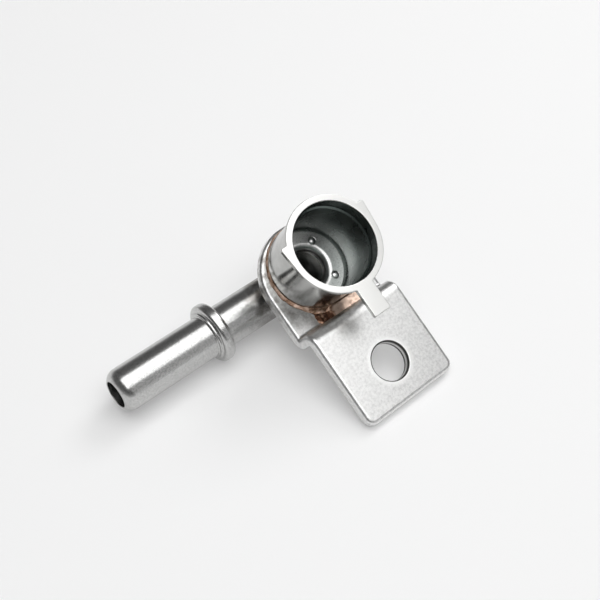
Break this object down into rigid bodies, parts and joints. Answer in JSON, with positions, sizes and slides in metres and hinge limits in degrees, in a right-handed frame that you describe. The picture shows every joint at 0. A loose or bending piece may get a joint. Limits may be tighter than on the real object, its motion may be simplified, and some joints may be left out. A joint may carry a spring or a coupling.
{
  "type": "fuel injector cap",
  "caption": "Drawn steel cup with eared lip and floor ring, copper-brazed in a folded bolt bracket, with a beaded side tube that feeds fuel through its floor.",
  "frame": {"origin": "on the axis of the cup's bore, in the top face of the bracket plate", "axes": "+Z along the bore out of the cup's mouth, towards the injector; -X along the fuel tube towards its nose; -Y towards the bolt leaf"},
  "size_m": [0.0504, 0.038, 0.0257],
  "materials": {
    "cup_steel": "satin",
    "ring_steel": "satin",
    "chamber_steel": "satin",
    "bracket_steel": "satin",
    "tube_steel": "satin",
    "braze_copper": "satin"
  },
  "bodies": {
    "root": {"injector_cup": "cup_steel", "floor_ring": "ring_steel", "inlet_chamber": "chamber_steel", "mounting_bracket": "bracket_steel", "inlet_tube": "tube_steel", "cup_braze": "braze_copper", "chamber_braze": "braze_copper", "tube_braze": "braze_copper"}
  },
  "joints": []
}
